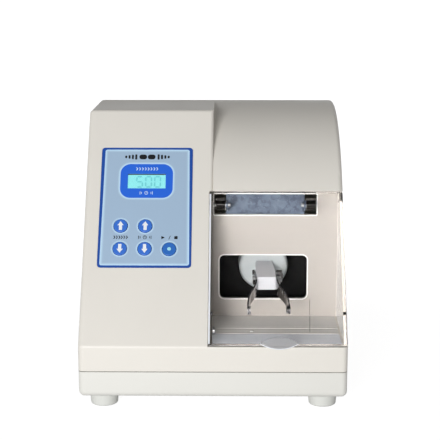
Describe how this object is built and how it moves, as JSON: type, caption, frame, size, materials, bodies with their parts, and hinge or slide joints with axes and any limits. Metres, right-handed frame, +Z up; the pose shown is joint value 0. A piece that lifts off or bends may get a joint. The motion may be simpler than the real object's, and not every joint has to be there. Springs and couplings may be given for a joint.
{
  "type": "dental amalgamator",
  "caption": "Bench-top capsule mixer: wedge-shaped case with a key panel and display, a clear hinged lid over the mixing chamber, and a motor-driven wobbling arm with a sprung capsule clamp.",
  "frame": {"origin": "middle of the object's bounding box, on the surface that its feet stand on", "axes": "+X to the user's right, +Y from the front to the back, +Z up"},
  "size_m": [0.205, 0.2304, 0.219],
  "materials": {
    "case_ivory": "satin moulded",
    "tray_ivory": "satin moulded",
    "foot_white": "matt",
    "overlay_blue_grey": "printed film",
    "key_blue": "printed",
    "clear_lid": "clear polished",
    "display_clear": "clear",
    "lcd_cyan": "lit",
    "black_plastic": "matt moulded",
    "board_green": "solder mask",
    "component_black": "matt",
    "galvanised": "spangled zinc",
    "steel": "ground",
    "chrome": "polished",
    "motor_paint": "satin",
    "aluminium_cast": "cast",
    "magnet": "sintered",
    "armature_core": "laminated",
    "coil_tape": "taped winding",
    "brass": "machined",
    "hub_white": "moulded",
    "holder_grey": "moulded",
    "rubber_black": "matt",
    "fan_grey": "moulded"
  },
  "bodies": {
    "housing": {"upper_housing": "case_ivory", "chamber_back": "case_ivory", "base_tray": "tray_ivory", "foot_front_left": "foot_white", "foot_front_right": "foot_white", "foot_rear_left": "foot_white", "foot_rear_right": "foot_white", "foot_screws": "steel", "control_overlay": "overlay_blue_grey", "display_window": "display_clear", "lcd_module": "lcd_cyan", "control_board": "board_green", "key_switches": "component_black", "board_screws": "steel", "hinge_bracket": "galvanised", "hinge_rod": "steel", "hinge_screws": "steel", "chamber_liner": "black_plastic", "liner_screws": "steel", "motor_bracket": "galvanised", "isolators": "rubber_black", "bracket_screws": "steel", "motor_can": "motor_paint", "motor_front_bell": "aluminium_cast", "stator_magnets": "magnet", "motor_screws": "steel", "front_bearing": "steel", "rear_bearing": "steel", "transformer_core": "armature_core", "transformer_coil": "coil_tape", "power_board": "board_green", "power_components": "component_black", "power_inlet": "black_plastic", "inlet_screws": "steel", "switch_body": "black_plastic", "reed_switch": "component_black", "spring_posts": "steel", "spring_left": "steel", "spring_right": "steel"},
    "lid": {"lid": "clear_lid", "lid_grip": "clear_lid", "lid_magnet": "steel"},
    "rotor": {"motor_shaft": "steel", "armature": "armature_core", "cooling_fan": "fan_grey", "eccentric_journal": "steel", "counterweight": "brass"},
    "arm": {"hub_bearing": "steel", "wobble_hub": "hub_white", "holder_block": "holder_grey", "holder_bolt": "steel", "prong_left": "chrome", "prong_right": "chrome"},
    "power_rocker": {"power_rocker": "black_plastic"},
    "fuse_drawer": {"fuse_drawer": "black_plastic"},
    "key_speed_up": {"key_speed_up": "key_blue"},
    "key_timer_up": {"key_timer_up": "key_blue"},
    "key_speed_down": {"key_speed_down": "key_blue"},
    "key_timer_down": {"key_timer_down": "key_blue"},
    "key_start_stop": {"key_start_stop": "key_blue"}
  },
  "joints": [
    {"name": "lid_hinge", "type": "hinge", "parent": "housing", "child": "lid", "pos_m": [0.04, -0.03888, 0.14729], "axis": [-1, 0, 0], "range_deg": [0, 90]},
    {"name": "rotor_spin", "type": "hinge", "parent": "housing", "child": "rotor", "pos_m": [0.0398, -0.0062, 0.0925], "axis": [0, 1, 0], "continuous": true},
    {"name": "arm_wobble", "type": "hinge", "parent": "rotor", "child": "arm", "pos_m": [0.0398, -0.0062, 0.0925], "axis": [-0.0488, 0.9971, 0.0592], "continuous": true, "deforming": ["spring_left", "spring_right"]},
    {"name": "power_rocker_tilt", "type": "hinge", "parent": "housing", "child": "power_rocker", "pos_m": [-0.058, 0.1063, 0.099], "axis": [0, 0, 1], "range_deg": [0, 16]},
    {"name": "fuse_drawer_slide", "type": "slide", "parent": "housing", "child": "fuse_drawer", "axis": [0, 1, 0], "range_m": [0, 0.016]},
    {"name": "key_speed_up_press", "type": "slide", "parent": "housing", "child": "key_speed_up", "axis": [0, 0.829, -0.5592], "range_m": [0, 0.0005], "stiffness_N_per_m": 600, "springref_m": -0.0004},
    {"name": "key_timer_up_press", "type": "slide", "parent": "housing", "child": "key_timer_up", "axis": [0, 0.829, -0.5592], "range_m": [0, 0.0005], "stiffness_N_per_m": 600, "springref_m": -0.0004},
    {"name": "key_speed_down_press", "type": "slide", "parent": "housing", "child": "key_speed_down", "axis": [0, 0.829, -0.5592], "range_m": [0, 0.0005], "stiffness_N_per_m": 600, "springref_m": -0.0004},
    {"name": "key_timer_down_press", "type": "slide", "parent": "housing", "child": "key_timer_down", "axis": [0, 0.829, -0.5592], "range_m": [0, 0.0005], "stiffness_N_per_m": 600, "springref_m": -0.0004},
    {"name": "key_start_stop_press", "type": "slide", "parent": "housing", "child": "key_start_stop", "axis": [0, 0.829, -0.5592], "range_m": [0, 0.0005], "stiffness_N_per_m": 600, "springref_m": -0.0004}
  ],
  "couplings": [
    {"joint": "arm_wobble", "follows": "rotor_spin", "ratio": -1}
  ]
}
